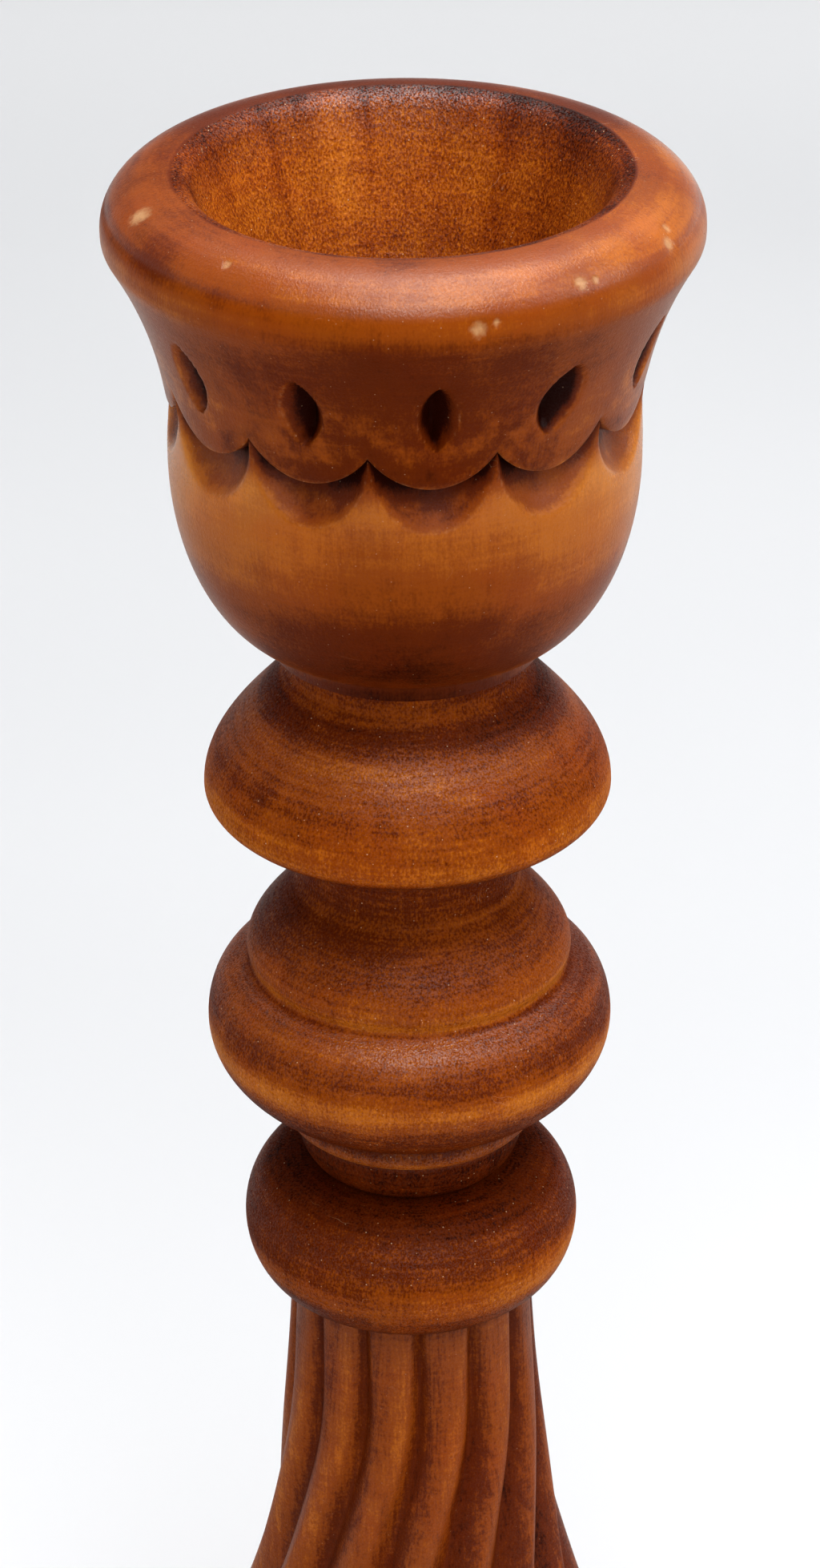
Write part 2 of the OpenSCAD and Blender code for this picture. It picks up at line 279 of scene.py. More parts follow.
def wood(name, grain=0.5, speckle=0.3, specks=0.5, roughness=0.32, rings=0.6, sheen=0.3):
    """Stained and waxed hardwood, its fibres along the turning axis.

    Four vertex marks set it: how dark its staining is, with painted shade and light mixed in, how glossy the
    wax, how much wear it has, with a painted glint among the wear, and how mottled.
    """
    material, tree, shader, mm = start_material(name)
    tone, wax, chip, carved = [add(tree, "ShaderNodeAttribute", attribute_name=key).outputs["Fac"]
                               for key in ("tone", "wax", "chip", "carved")]
    fibre = noise(tree, mm, 3.4, 3.0, 0.1, (1, 1, 14))
    streak = noise(tree, mm, 0.42, 4.0, 0.5, (1, 1, 22))
    mottle = noise(tree, mm, 0.15, 3.0, 0.6, (1, 1, 1.3))
    grit = noise(tree, mm, 5.2, 2.0, 0.0, (1, 1, 1.6))
    patch = noise(tree, mm, 0.5, 3.0, 0.3)
    x, y, z = add(tree, "ShaderNodeSeparateXYZ", {0: mm}).outputs
    radius = maths(tree, "SQRT", maths(tree, "MULTIPLY_ADD", x, x, maths(tree, "MULTIPLY", y, y)))
    slow = maths(tree, "MULTIPLY", maths(tree, "ADD", x, y), 0.07)
    lathe = add(tree, "ShaderNodeCombineXYZ", {0: radius, 1: slow, 2: z}).outputs[0]
    turning = noise(tree, lathe, 2.2, 3.0)
    total = maths(tree, "MULTIPLY_ADD", maths(tree, "SUBTRACT", patch, 0.5),
                  maths(tree, "MULTIPLY", carved, 0.40), tone)
    for value, amount in ((fibre, 0.40 * grain), (streak, 0.36 * grain), (mottle, 0.16), (grit, speckle),
                          (patch, 0.13), (turning, 0.35 * rings)):
        total = maths(tree, "MULTIPLY_ADD", maths(tree, "SUBTRACT", value, 0.5), amount, total)
    ramp = add(tree, "ShaderNodeValToRGB", {0: total})
    ramp.color_ramp.interpolation = "EASE"
    while len(ramp.color_ramp.elements) < len(STAIN):
        ramp.color_ramp.elements.new(0.5)
    for stop, (position, tint) in zip(ramp.color_ramp.elements, STAIN):
        stop.position = position
        stop.color = (*tint, 1)
    colour = ramp.outputs[0]

    reddening = between(tree, noise(tree, mm, 0.11, 2.0, 0.8), 0.45, 0.7, 0.0, 0.5)
    colour = blend(tree, reddening, colour, (1.0, 0.84, 0.76, 1), "MULTIPLY")

    cells = add(tree, "ShaderNodeTexVoronoi", {"Vector": mm, "Scale": 1.7})
    dot = between(tree, cells.outputs["Distance"], 0.06, 0.13, 1.0, 0.0)
    chosen = add(tree, "ShaderNodeSeparateColor", {0: cells.outputs["Color"]}).outputs[0]
    dot = maths(tree, "MULTIPLY", dot, between(tree, chosen, 0.62, 0.95))
    colour = blend(tree, maths(tree, "MULTIPLY", dot, specks), colour, (0.72, 0.47, 0.27, 1))

    hair = noise(tree, mm, 0.16, 1.0, 1.2, (1, 1, 0.7))
    hair = between(tree, maths(tree, "ABSOLUTE", maths(tree, "SUBTRACT", hair, 0.5)), 0.0, 0.0035, 1.0, 0.0)
    where = between(tree, noise(tree, mm, 0.33, 2.0), 0.6, 0.68)
    scratch = maths(tree, "MULTIPLY", hair, where)
    colour = blend(tree, maths(tree, "MULTIPLY", scratch, 0.35 * specks), colour, (0.55, 0.33, 0.18, 1))

    # Paler worn wood at chips and scuffs, and a painted glint at the first of the lip's chips.
    worn_and_glint = maths(tree, "MULTIPLY_ADD", maths(tree, "SUBTRACT", noise(tree, mm, 2.2, 3.0), 0.5), 0.7, chip)
    worn_and_glint = between(tree, worn_and_glint, 0.25, 1.1)
    colour = blend(tree, maths(tree, "MULTIPLY", worn_and_glint, 0.7), colour, (0.62, 0.34, 0.15, 1))
    tree.links.new(colour, shader.inputs["Base Color"])

    gloss = maths(tree, "MULTIPLY_ADD", grit, 0.20, roughness)
    gloss = maths(tree, "MULTIPLY_ADD", mottle, 0.12, gloss)
    tree.links.new(maths(tree, "MULTIPLY_ADD", wax, -0.45, gloss), shader.inputs["Roughness"])
    sparkle = between(tree, noise(tree, mm, 6.0, 1.0), 0.36, 0.64, 1 - sheen, 1 + 1.3 * sheen)
    tree.links.new(maths(tree, "MULTIPLY", wax, sparkle), shader.inputs["Specular IOR Level"])

    height = maths(tree, "MULTIPLY", turning, rings)
    height = maths(tree, "MULTIPLY_ADD", fibre, 0.35, height)
    height = maths(tree, "MULTIPLY_ADD", grit, 0.4 + 1.6 * speckle, height)
    height = maths(tree, "MULTIPLY_ADD", worn_and_glint, -1.2, height)
    height = maths(tree, "MULTIPLY_ADD", scratch, -0.5, height)
    bump = add(tree, "ShaderNodeBump", {"Strength": 0.5, "Distance": 0.00010, "Height": height})
    tree.links.new(bump.outputs[0], shader.inputs["Normal"])
    return material


def bare_wood(name):
    """Unstained birch for the dowels, with fine grain along them."""
    material, tree, shader, mm = start_material(name)
    fibre = noise(tree, mm, 2.8, 3.0, 0.1, (1, 1, 20))
    streak = noise(tree, mm, 0.5, 2.0, 0.4, (1, 1, 18))
    colour = blend(tree, between(tree, fibre, 0.3, 0.7), (0.62, 0.42, 0.22, 1), (0.80, 0.62, 0.38, 1))
    colour = blend(tree, between(tree, streak, 0.45, 0.75, 0.0, 0.5), colour, (0.50, 0.30, 0.14, 1))
    tree.links.new(colour, shader.inputs["Base Color"])
    tree.links.new(between(tree, streak, 0.2, 0.8, 0.55, 0.72), shader.inputs["Roughness"])
    bump = add(tree, "ShaderNodeBump", {"Strength": 0.5, "Distance": 0.00008, "Height": fibre})
    tree.links.new(bump.outputs[0], shader.inputs["Normal"])
    return material


def steel(name, tint, dull):
    """Zinc-plated steel with faint brushing round the axis and a little tarnish."""
    material, tree, shader, mm = start_material(name)
    shader.inputs["Metallic"].default_value = 1.0
    cloud = noise(tree, mm, 0.8, 3.0)
    brush = noise(tree, mm, 6.0, 2.0, 0.0, (1, 1, 6))
    colour = blend(tree, between(tree, cloud, 0.45, 0.75, 0.0, 0.6), tint, (0.42, 0.38, 0.33, 1))
    tree.links.new(colour, shader.inputs["Base Color"])
    tree.links.new(between(tree, brush, 0.2, 0.8, dull, dull + 0.2), shader.inputs["Roughness"])
    bump = add(tree, "ShaderNodeBump", {"Strength": 0.4, "Distance": 0.00004, "Height": brush})
    tree.links.new(bump.outputs[0], shader.inputs["Normal"])
    return material


def felt(name):
    """Pressed green felt: matted fibres, lint and a soft sheen."""
    material, tree, shader, mm = start_material(name)
    mat = noise(tree, mm, 1.8, 6.0, 2.2)
    cloud = noise(tree, mm, 0.12, 3.0, 0.5)
    colour = blend(tree, between(tree, mat, 0.35, 0.7), (0.012, 0.04, 0.018, 1), (0.045, 0.115, 0.055, 1))
    colour = blend(tree, between(tree, cloud, 0.4, 0.7, 0.0, 0.4), colour, (0.07, 0.11, 0.06, 1))
    lint = between(tree, noise(tree, mm, 3.2, 1.0, 3.0), 0.68, 0.74, 0.0, 0.5)
    colour = blend(tree, lint, colour, (0.35, 0.38, 0.30, 1))
    tree.links.new(colour, shader.inputs["Base Color"])
    shader.inputs["Roughness"].default_value = 0.95
    shader.inputs["Sheen Weight"].default_value = 0.5
    bump = add(tree, "ShaderNodeBump", {"Strength": 0.9, "Distance": 0.0003, "Height": mat})
    tree.links.new(bump.outputs[0], shader.inputs["Normal"])
    return material


# ---- Candle cup ----

PETALS = 12
PETAL_TURN = -83.5
COLUMNS = 480
WAIST_R, WAIST = 20.4, 19.7
PETAL_R, PETAL_DEPTH = 6.2, 13.8
CRESCENT_R, CRESCENT_DEPTH, CRESCENT_CUT = 7.4, 18.4, 2.6
LEAF_DEPTH = 13.0
BAND_TOP, BAND_FOOT, BAND_STEP = 8.2, 26.2, 0.12
PETAL_ROWS, CRESCENT_ROWS = 56, 62
SOCKET_R, SOCKET_TOP, SOCKET_FLOOR = 11.25, 19.0, 31.0
CREST_R = 19.6
CUP_HOLE = 9.0
CHIP_DEPTH = 0.25


def cup_outside():
    """The cup's outer side, upwards from its seam to the crest."""
    roll, turn, drop = 1.8, math.radians(31), 4.6
    roll_z = -drop - 0.5
    flare_r = LIP_R - roll * (1 - math.cos(turn))
    flare_z = roll_z - roll * math.sin(turn)
    rise = flare_z + WAIST
    end = 2 * math.atan((flare_r - WAIST_R) / rise) - turn
    rho = rise / (math.sin(turn) - math.sin(end))
    centre_r = flare_r + rho * math.cos(turn)
    centre_z = flare_z - rho * math.sin(turn)
    side = [(12, CUP_FOOT), (12, CUP_FOOT + 1.5)]
    side += arc(WAIST_R - 9.5, -25.7, 9.5, 16.9, -83, 0, 60)
    side += arc(centre_r, centre_z, rho, rho, 180 - math.degrees(end), 180 - math.degrees(turn), 40)
    side += arc(LIP_R - roll, roll_z, roll, roll, -math.degrees(turn), 0, 12)
    side += arc(CREST_R, -drop, LIP_R - CREST_R, drop, 0, 90, 40)
    return side


def cup_inside():
    """The cup's inner side, downwards from the crest to the socket's floor."""
    roll = 2.2
    wall = math.degrees(math.atan((CREST_R - roll - SOCKET_R) / (SOCKET_TOP - roll)))
    side = arc(CREST_R, -roll, roll, roll, 90, 180 - wall, 16)
    side += [(SOCKET_R, -SOCKET_TOP), (SOCKET_R, -SOCKET_FLOOR), (0.4, -SOCKET_FLOOR)]
    return side


# One carved leaf for each petal: sideways shift, lean, half width, half length, depth, keel, softness.
LEAVES = (
    (0.3, 0.00, 1.75, 3.3, 2.0, -0.25, 1.1), (-0.35, 0.20, 2.10, 3.3, 2.1, -0.10, 1.1),
    (0.2, 0.10, 1.80, 3.3, 1.9, 0.10, 1.2), (-0.2, 0.02, 1.70, 3.0, 1.9, 0.20, 1.4),
    (0.1, -0.05, 1.95, 3.3, 2.1, -0.10, 1.3), (0.0, 0.08, 1.75, 3.1, 1.8, 0.15, 1.5),
    (-0.1, 0.03, 1.90, 3.2, 2.0, 0.00, 1.2), (0.2, -0.03, 1.70, 3.0, 1.9, 0.10, 1.4),
    (0.0, 0.06, 2.00, 3.3, 2.1, -0.10, 1.3), (-0.2, 0.02, 1.80, 3.1, 1.9, 0.20, 1.5),
    (0.0, -0.04, 1.75, 3.4, 2.0, 0.20, 1.3), (0.2, -0.02, 1.95, 3.3, 2.0, 0.30, 1.6),
)


def leaf_cut(petal, across, down):
    """How deep the leaf of that petal is cut, at a place across it and below its centre."""
    shift, lean, half_w, half_l, deep, keel, soft = np.array(LEAVES)[petal].T
    shape = np.clip(1 - (down / half_l) ** 2, 0, 1)
    u = (across - shift + lean * down) / np.maximum(1.1 * half_w * shape ** 0.75, 0.05)
    left = np.clip((u + 1) / (1 + keel), 0, 1) ** soft
    right = np.clip((1 - u) / (1 - keel), 0, 1) ** 1.15
    return deep * np.minimum(left, right) * shape ** 0.5


# Down the cup's outer side and down its inside: depth, stain, wax. The stain is partly painted shade: it is
# darkest under the lip's flare, low on the bulb and at the crest's inner edge.
CUP_TONES = (
    (0, 0.57, 0.30), (0.7, 0.37, 0.40), (1.9, 0.37, 0.41), (2.5, 0.51, 0.43), (3, 0.49, 0.02),
    (4, 0.49, 0.04), (5.2, 0.64, 0.03), (7, 0.70, 0.04), (10, 0.72, 0.03), (16, 0.63, 0.03),
    (19, 0.65, 0.02), (22, 0.27, 0.25), (26, 0.40, 0.08), (30, 0.53, 0.03), (35, 0.76, 0.02),
    (39, 0.91, 0.02), (42, 0.71, 0.02), (44, 0.89, 0.03),
)
INSIDE_TONES = (
    (0, 0.67, 0.42), (0.7, 0.44, 0.50), (2, 0.34, 0.37), (4.5, 0.32, 0.14), (8, 0.32, 0.12),
    (12, 0.41, 0.14), (15, 0.36, 0.30), (19, 0.40, 0.30), (31, 0.55, 0.30),
)
# Painted side light and shade: what the stain tone is changed by at the left and at the right, outside and
# inside: depth, left, right.
CUP_SIDES = (
    (0, -0.22, -0.08), (1, 0.00, 0.00), (3.2, 0.00, 0.00), (5, -0.18, -0.08), (8, 0.00, 0.00),
    (22, 0.00, 0.00), (28, -0.05, 0.00), (34, 0.00, 0.00), (38.5, -0.18, -0.18), (42, -0.10, -0.10),
    (44, 0.00, 0.00),
)
INSIDE_SIDES = (
    (0, -0.22, -0.05), (1, 0.00, 0.07), (2.5, 0.03, 0.10), (4.5, 0.00, 0.00), (31, 0.00, 0.00),
)
# Streaks down the inside: degrees to the right of the back, half width, how much darker, reach down. The last
# two, wide and short, are painted shade along the top of the inner wall at the left and the right.
INNER_STREAKS_AND_SHADE = (
    (-66, 7, 0.14, 5), (-41, 2.5, 0.15, 13), (-30, 5, 0.14, 8), (-20, 6, -0.14, 14), (-10, 1.3, 0.14, 7),
    (15, 5, 0.06, 8), (33, 4.5, 0.18, 15), (56, 13, 0.22, 20), (92, 5, 0.08, 9), (118, 3, 0.16, 12),
    (150, 7, 0.22, 8), (-97, 5, 0.16, 10), (-128, 8, 0.22, 9), (-162, 4, 0.18, 13), (-95, 30, 0.10, 2.5),
    (100, 28, 0.10, 4),
)
# Blotches on the lip: degrees to the right of the front, half width, how much darker, depth, half depth.
BLOTCHES = (
    (35, 8, 0.16, 2.0, 2.2), (52, 8, 0.18, 2.0, 2.2), (70, 7, 0.08, 1.5, 2.2), (86, 10, 0.20, 1.2, 2.2),
    (126, 16, 0.28, 1.5, 2.0), (160, 8, 0.08, 1.5, 2.0), (-56, 8, 0.20, 1.9, 2.2), (-22, 6, -0.04, 2.0, 2.0),
    (-85, 8, 0.05, 1.5, 2.0), (-125, 10, 0.10, 1.5, 2.0), (-160, 8, 0.06, 1.5, 2.0),
)
# Pale chips on the lip: degrees to the right of the front, depth, size. The first, the largest, on the lip's
# left, is a painted glint.
LIP_CHIPS_AND_GLINT = ((-70, 0.9, 1.5), (-38, 0.9, 0.6), (35.5, 2.0, 0.9), (39, 2.1, 0.55), (13.5, 3.9, 0.95),
         (17, 3.5, 0.5), (62, 2.2, 0.9), (65, 1.4, 0.6), (118, 3.0, 0.9), (-140, 2.6, 0.8))


def carved_band(outside, petal, off, right):
    """The carved border from its foot up: its radii, depths, staining with painted shade, mottling and
    scuffs.

    Its lower part is the crescents, and its upper part the petals with a leaf cut into each.
    """
    edge = PETAL_DEPTH + np.sqrt(PETAL_R ** 2 - (WAIST_R * np.sin(off)) ** 2)

    def radius(depth):
        return np.interp(depth, -outside[::-1, 1], outside[::-1, 0])

    share = np.linspace(0, 1, PETAL_ROWS)[:, None]
    depth = BAND_TOP + (edge - BAND_TOP) * share
    cut = leaf_cut(petal, radius(depth) * np.sin(off), depth - LEAF_DEPTH)
    pillow = 0.22 * np.exp(-np.abs(edge - depth) / 0.35)
    rim = np.exp(-((cut - 0.12) / 0.11) ** 2) * (cut > 0.01)
    tip = 0.07 * np.exp(-((edge - depth - 1.2) / 1.2) ** 2)
    # Painted shade: the leaves' cuts are stained darker, and darker still towards the left and the right,
    # soonest on the right.
    flank = 1.6 - 0.9 * np.clip(right, 0, 1)
    stain_and_shade = np.clip(cut / flank, 0, 1) ** 1.3 * (0.56 + 0.30 * np.abs(right)) - 0.10 * rim + tip
    mottling = np.clip((depth - 11.5) / 3, 0, 1)
    scuffs = 0.42 * rim + 0.40 * np.exp(-(edge - depth) / 0.5)
    petals = radius(depth) - cut - pillow, depth, stain_and_shade, mottling, scuffs

    centre = WAIST_R + CRESCENT_R - CRESCENT_CUT
    first = edge + BAND_STEP
    share = np.linspace(0, 1, CRESCENT_ROWS)[:, None] ** 1.15
    depth = first + (BAND_FOOT - first) * share
    room = CRESCENT_R ** 2 - (centre * np.sin(off)) ** 2 - (depth - CRESCENT_DEPTH) ** 2
    scoop = radius(depth) - centre * np.cos(off) + np.sqrt(np.maximum(room, 0))
    cut = np.maximum(0, 0.5 * (scoop + np.sqrt(scoop ** 2 + 0.3 ** 2)) - 0.01)
    cut = cut + 0.35 * np.exp(-(depth - edge) / 0.4)
    fade = np.clip((BAND_FOOT - depth) / 0.8, 0, 1)
    # Painted shadow: the crescents are darker right under the petals' edges. Their darkening with the cut is
    # partly stain and partly painted shade, and its change towards the left and the right is painted shade.
    under = 0.3 * np.exp(-(depth - edge) / 1.3) * np.clip(cut / 0.4, 0, 1)
    stain_and_shade = np.clip(cut / 0.8, 0, 1) * (0.33 - 0.14 * np.abs(right) + 0.30 * np.abs(right) ** 6) + under
    mottling = 0.7 * np.clip(cut / 0.4, 0, 1) * fade
    scuffs = 0.38 * np.exp(-((cut - 0.15) / 0.12) ** 2) * fade
    crescents = radius(depth) - cut * fade, depth, stain_and_shade, mottling, scuffs
    return [np.concatenate(both)[::-1] for both in zip(petals, crescents)]


def wrapped(turns):
    """Angles in degrees, brought between -180 and 180."""
    return (turns + 180) % 360 - 180


def cup_stain_and_shading(rings, turns, hole, band, outer, inner, band_tone):
    """Staining with painted light and shade, and wax, at the cup's points. The hole, band, outer and inner
    sides are slices of its rings.
    """
    z, down = rings[:, :, 2], -rings[:, :, 2]
    right = np.cos(np.radians(turns))
    aside = np.abs(right)
    tone, wax = by_depth(CUP_TONES, z)
    tone[band] += band_tone
    wax[band] *= 1 - np.clip(band_tone * 3, 0, 0.5)
    tone[inner], wax[inner] = by_depth(INSIDE_TONES, z[inner])
    tone[hole] = BARE_TONE

    # Painted light and shade: the outside is lighter towards the left and the right, and the lip lighter
    # towards the right; the wax is raised at the sides, and the side tables add more painted light and shade.
    lip = np.exp(-(down[outer] / 4.5) ** 4)
    dull = np.clip(-right, 0, 1) * np.exp(-(down[outer] / 4) ** 4)
    tone[outer] -= 0.34 * aside ** 1.7 * (1 - np.exp(-(down[outer] / 4.8) ** 4))
    tone[outer] -= (0.16 * right + 0.05 * aside) * lip
    wax[outer] += 0.35 * aside ** 2.5 * (1 - dull) - 0.15 * dull
    wax = np.maximum(wax, 0.02)
    wax[inner] *= 1 - 0.7 * right ** 2 * np.exp(-(down[inner] / 3) ** 4)
    tone[outer] += sideways(CUP_SIDES, z[outer], right)
    tone[inner] += sideways(INSIDE_SIDES, z[inner], right)

    for turn, half_w, strength, deep, half_d in BLOTCHES:
        away = wrapped(turns + 90 - turn) / half_w
        blotch = strength * np.exp(-away ** 2) * np.exp(-((down[outer] - deep) / half_d) ** 2)
        tone[outer] += blotch
        wax[outer] *= 1 - np.clip(1.5 * blotch, 0, 0.3)
    # Painted shade: the lip and the top of the inner wall are darker towards the back.
    back_shade = np.clip(0.5 + 0.8 * np.sin(np.radians(turns)), 0, 1)
    tone += 0.10 * back_shade * (np.exp(-(down / 3) ** 2) + np.exp(-down ** 2))
    for turn, half_w, strength, reach in INNER_STREAKS_AND_SHADE:
        away = wrapped(turns - 90 + turn) / half_w
        streak = strength * np.exp(-away ** 2) * np.exp(-(down[inner] / reach) ** 2)
        tone[inner] += streak
        wax[inner] *= 1 - np.clip(2 * streak, 0, 0.6)
    return tone, wax


def lip_chips(rings, outside):
    """How much of the lip's chips, and of the painted glint among them, is at each point."""
    worn_and_glint = np.zeros(rings.shape[:2])
    for turn, drop, size in LIP_CHIPS_AND_GLINT:
        a = math.radians(turn - 90)
        r = np.interp(drop, -outside[::-1, 1], outside[::-1, 0])
        gap = np.linalg.norm(rings - [r * math.cos(a), r * math.sin(a), -drop], axis=2) / size
        worn_and_glint = np.maximum(worn_and_glint, np.clip(1.2 - gap, 0, 1))
    return worn_and_glint


def cup_body(material, inner_material):
    """The cup: a turned blank with a carved border of petals, leaves and crescents."""
    outside = soften(cup_outside())
    even = np.arange(COLUMNS) * 360 / COLUMNS
    turns = even + PETAL_TURN
    spin = np.radians(turns)
    each = COLUMNS // PETALS
    petal = (np.arange(COLUMNS) + each // 2) // each % PETALS
    off = np.radians((even + 180 / PETALS) % (360 / PETALS) - 180 / PETALS)
    r, depth, band_tone, band_mottling, band_scuffs = carved_band(outside, petal, off, np.cos(spin))

    hole = rows_of([(0.4, CUP_FOOT + CUP_HOLE), (BORE_R, CUP_FOOT + CUP_HOLE), (BORE_R, CUP_FOOT),
                    (11.9, CUP_FOOT)], 2.0)
    parts = (rings_of(hole, spin), rings_of(outside[-outside[:, 1] > BAND_FOOT], spin),
             np.stack([r * np.cos(spin), r * np.sin(spin), -depth], 2),
             rings_of(outside[-outside[:, 1] < BAND_TOP], spin), rings_of(soften(cup_inside())[1:], spin))
    ends = np.cumsum([len(part) for part in parts])
    rings = np.concatenate(parts)
    band, outer, inner = slice(ends[1], ends[2]), slice(0, ends[3]), slice(ends[3], None)

    tone, wax = cup_stain_and_shading(rings, turns, slice(0, ends[0]), band, outer, inner, band_tone)
    carved = np.zeros(rings.shape[:2])
    carved[band] = band_mottling
    chip = lip_chips(rings, outside)
    chip[band] = np.maximum(chip[band], band_scuffs)
    outward = rings / np.maximum(np.linalg.norm(rings, axis=2, keepdims=True), 1)
    sunk = np.where(-rings[:, :, 2] < BAND_TOP, np.clip(chip, 0, 0.6), 0) * CHIP_DEPTH
    rings = rings - outward * sunk[:, :, None]

    piece = make_mesh("cup", CUP_FOOT + CUP_HOLE, rings, -SOCKET_FLOOR, [material, inner_material],
                      tone=tone, wax=wax, chip=chip, carved=carved)
    mark = np.zeros(len(piece.data.polygons), np.int32)
    mark[ends[3] * COLUMNS:(len(rings) - 1) * COLUMNS] = 1
    mark[-COLUMNS:] = 1
    piece.data.polygons.foreach_set("material_index", mark)
    finish_piece(piece, "candle_cup")


# ---- Stem ----

NECK_1, KNOP_1, NECK_2, SHOULDER, KNOP_2 = 10.6, 18.2, 9.8, 14.8, 18.5
FILLET_3, NECK_3, KNOP_3, COLUMN_R = 12.0, 8.6, 15.6, 11.3
STEM_HOLE = 14.0
# Painted light: the knops' undersides at these depths are made lighter at the left and the right.
BELLIES = (57.5, 83.5, 106.0)  # depths of the knops' bright undersides


def stem_outside():
    """The stem's outer side, downwards from the cup."""
    half = 1.6
    side = [(NECK_1 - 0.2, CUP_FOOT), (NECK_1, CUP_FOOT - 0.3)]
    side += knop_side(NECK_1, KNOP_1, -46.2, -58, 1.2)
    side += knop_side(NECK_2, KNOP_1, -61.6, -58, 0.45)[::-1]
    side += knop_side(NECK_2, SHOULDER, -67.2, -75.2, 1.5)
    side += arc(SHOULDER + 0.5, -76.0, 0.8, 0.8, 180, 258, 8)
    side += arc(SHOULDER - 0.3, -82.5, KNOP_2 - SHOULDER + 0.3, 5.7, 80, 0, 30)
    side += knop_side(FILLET_3 - 0.8, KNOP_2, -90, -82.5, 0.5)[::-1]
    side += arc(FILLET_3 - half, half - 93.2, half, half, 60, -90, 14)
    side += arc(NECK_3, -93.2, 2.0, 4.4, 0, -90, 14)
    side += knop_side(NECK_3, KNOP_3, -97.6, -104.5, 0.34)
    side += knop_side(COLUMN_R, KNOP_3, -110.6, -104.5, 0.43)[::-1]
    side += [(COLUMN_R, STEM_FOOT)]
    return side


# Down the stem: depth, stain, wax. The stain is partly painted shade: it is darkest in the necks and the
# crevices under the knops.
STEM_TONES = (
    (44, 0.45, 0.06), (44.6, 0.62, 0.04), (46.3, 0.52, 0.05), (48, 0.72, 0.05), (50.5, 0.36, 0.25),
    (53, 0.50, 0.15), (53.8, 0.51, 0.07), (57, 0.43, 0.05), (58.4, 0.38, 0.05), (60, 0.75, 0.03),
    (61.3, 0.55, 0.08), (61.7, 0.85, 0.05), (63, 0.70, 0.05), (67.4, 0.68, 0.03), (68, 0.51, 0.05),
    (68.7, 0.64, 0.03), (72, 0.60, 0.15), (74.3, 0.48, 0.11), (76, 0.30, 0.18), (76.5, 0.55, 0.05),
    (77, 0.38, 0.54), (77.4, 0.40, 0.31), (80, 0.61, 0.11), (81.3, 0.49, 0.05), (82.6, 0.31, 0.10),
    (86, 0.68, 0.12), (87.6, 0.72, 0.03), (89.3, 0.85, 0.02), (90.2, 0.78, 0.05), (91, 0.63, 0.13),
    (92.6, 0.41, 0.29), (94, 0.86, 0.03), (97.4, 0.82, 0.03), (99, 0.79, 0.04), (100.5, 0.64, 0.12),
    (102, 0.64, 0.10), (104, 0.53, 0.03), (106.5, 0.45, 0.09), (108.5, 0.64, 0.33), (110.4, 0.74, 0.08),
    (111, 0.90, 0.05),
)
# Painted side light and shade: what the stem's stain tone is changed by at the left and at the right: depth,
# left, right.
STEM_SIDES = (
    (44, 0.00, 0.00), (46.5, -0.08, 0.00), (50.2, 0.00, 0.14), (51.5, 0.00, -0.05), (57.5, 0.02, 0.04),
    (58.8, -0.10, 0.00), (62, -0.13, -0.12), (66, -0.12, -0.12), (70, -0.02, -0.14), (73, -0.06, -0.12),
    (75.6, -0.12, -0.16), (77.2, 0.08, 0.22), (78.6, -0.02, 0.05), (81.5, -0.02, 0.03), (84.3, -0.05, -0.08),
    (88, 0.00, -0.12), (92, 0.00, 0.00), (95, -0.13, -0.13), (99, -0.13, -0.11), (102, 0.00, 0.00),
    (105, 0.15, -0.15), (108, 0.05, -0.08), (111, 0.00, 0.00),
)


def stem_body(material):
    """The knopped stem."""
    side = soften(stem_outside())[::-1]
    low = rows_of([(0.4, STEM_FOOT + STEM_HOLE), (BORE_R, STEM_FOOT + STEM_HOLE), (BORE_R, STEM_FOOT)], 2.5)
    high = rows_of([(BORE_R, CUP_FOOT), (BORE_R, CUP_FOOT - STEM_HOLE), (0.4, CUP_FOOT - STEM_HOLE)], 2.5)
    profile = np.concatenate([low, side, high])
    spin = even_turns(TURNED_COLUMNS)
    rings = rings_of(profile, spin)
    z, right = rings[:, :, 2], np.cos(spin)
    tone, wax = by_depth(STEM_TONES, z)
    # Painted light and shade: the stem is darker at the left and the right, except the knops' undersides,
    # which are lighter there.
    belly = sum(np.exp(-((-z - depth) / 1.7) ** 2) for depth in BELLIES)
    tone += right ** 2 * (0.10 - 0.26 * belly)
    tone += sideways(STEM_SIDES, z, right)
    wax *= 1 - 0.5 * right ** 2
    tone[:len(low)] = BARE_TONE
    tone[-len(high):] = BARE_TONE
    piece = make_mesh("stem", STEM_FOOT + STEM_HOLE, rings, CUP_FOOT - STEM_HOLE, [material],
                      tone=tone, wax=wax)
    finish_piece(piece, "knop_stem")


# ---- Fluted column ----

FLUTES, FLUTE_TURN = 13, -86.5
FLARE, FLARE_LENGTH = 1.07, 21.6
ACROSS = 26
GROOVE_TOP, GROOVE_FOOT, GROOVE_GROWN = 0.7, 1.9, 32.0
GROOVE_W_TOP, GROOVE_W_FOOT = 0.1, 0.34
RIDGE_DIP = 0.18
TWIST_START, TWIST_FULL, TWIST_RATE = 8.0, 19.0, 1.2
PLAIN_RIM = 3.0
COLUMN_ROWS = 141
TENON_R, SCREW_R, SCREW_REACH = 12.0, 2.35, 16.0
COLUMN_H = STEM_FOOT - FOOT_TOP
# Down the column from its top: depth, stain, wax.
COLUMN_TONES = (
    (0, 0.60, 0.18), (1.5, 0.48, 0.16), (12, 0.45, 0.12), (25, 0.44, 0.20), (45, 0.46, 0.30),
    (60, 0.50, 0.30), (70, 0.62, 0.30),
)


